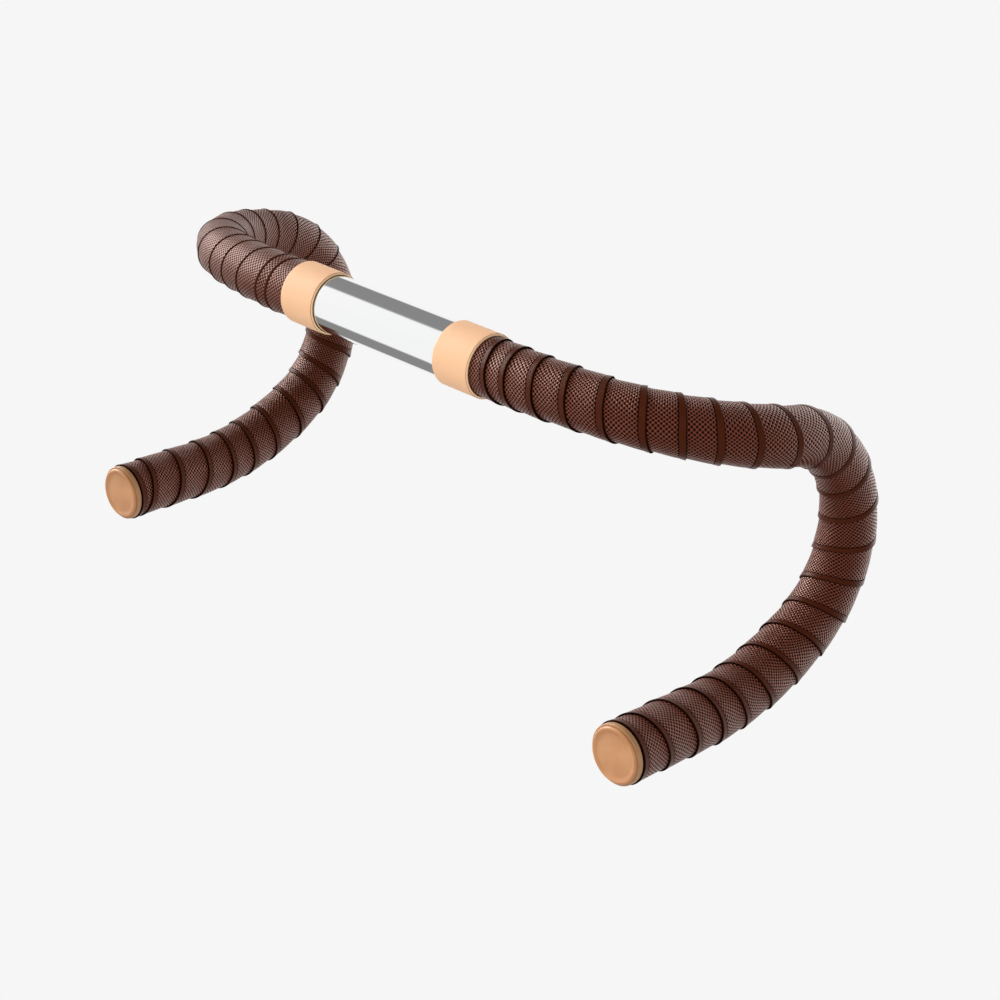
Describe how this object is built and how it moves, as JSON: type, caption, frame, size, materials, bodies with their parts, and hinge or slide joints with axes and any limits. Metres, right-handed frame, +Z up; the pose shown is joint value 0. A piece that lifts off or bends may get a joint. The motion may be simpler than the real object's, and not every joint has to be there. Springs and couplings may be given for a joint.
{
  "type": "drop handlebar",
  "caption": "Drop handlebar with wound brown bar tape, tan finishing bands at a polished clamp area, and expanding gum bar-end plugs that twist and pull out.",
  "frame": {"origin": "the centre of the stem clamp area, on the tube's axis", "axes": "X to the rider's right, Y forward, Z up, with the drop ends within 3 degrees of level as ridden"},
  "size_m": [0.4418, 0.1885, 0.1893],
  "materials": {
    "polished_alloy": "mirror-polished silver alloy",
    "brown_tape": "brown synthetic leather embossed with small diamonds",
    "tan_finishing_tape": "tan finely ribbed tape",
    "gum_cap": "gum rubber, satin",
    "gum_face": "gum rubber, slightly darker, satin",
    "zinc_screw": "zinc plated",
    "black_nylon": "black nylon",
    "wedge_alloy": "plain turned alloy"
  },
  "bodies": {
    "bar": {"handlebar_tube": "polished_alloy", "bar_tape_right": "brown_tape", "bar_tape_left": "brown_tape", "finishing_tape_right": "tan_finishing_tape", "finishing_tape_left": "tan_finishing_tape"},
    "plug_right": {"expander_sleeve_right": "black_nylon"},
    "cap_right": {"end_cap_right": "gum_cap", "cap_face_right": "gum_face", "plug_screw_right": "zinc_screw"},
    "wedge_right": {"wedge_nut_right": "wedge_alloy"},
    "plug_left": {"expander_sleeve_left": "black_nylon"},
    "cap_left": {"end_cap_left": "gum_cap", "cap_face_left": "gum_face", "plug_screw_left": "zinc_screw"},
    "wedge_left": {"wedge_nut_left": "wedge_alloy"}
  },
  "joints": [
    {"name": "plug_pull_right", "type": "slide", "parent": "bar", "child": "plug_right", "axis": [-0.0171, -0.9987, 0.0488], "range_m": [0, 0.045]},
    {"name": "cap_twist_right", "type": "hinge", "parent": "plug_right", "child": "cap_right", "pos_m": [0.20254, -0.03826, -0.15313], "axis": [-0.0171, -0.9987, 0.0488], "range_deg": [0, 1080]},
    {"name": "wedge_slide_right", "type": "slide", "parent": "plug_right", "child": "wedge_right", "axis": [0.0171, 0.9987, -0.0488], "range_m": [0, 0.003]},
    {"name": "plug_pull_left", "type": "slide", "parent": "bar", "child": "plug_left", "axis": [0.0171, -0.9987, 0.0488], "range_m": [0, 0.045]},
    {"name": "cap_twist_left", "type": "hinge", "parent": "plug_left", "child": "cap_left", "pos_m": [-0.20254, -0.03826, -0.15313], "axis": [0.0171, -0.9987, 0.0488], "range_deg": [0, 1080]},
    {"name": "wedge_slide_left", "type": "slide", "parent": "plug_left", "child": "wedge_left", "axis": [-0.0171, 0.9987, -0.0488], "range_m": [0, 0.003]}
  ],
  "couplings": [
    {"joint": "wedge_slide_right", "follows": "cap_twist_right", "m_per_rad": 0.00015915},
    {"joint": "wedge_slide_left", "follows": "cap_twist_left", "m_per_rad": 0.00015915}
  ]
}
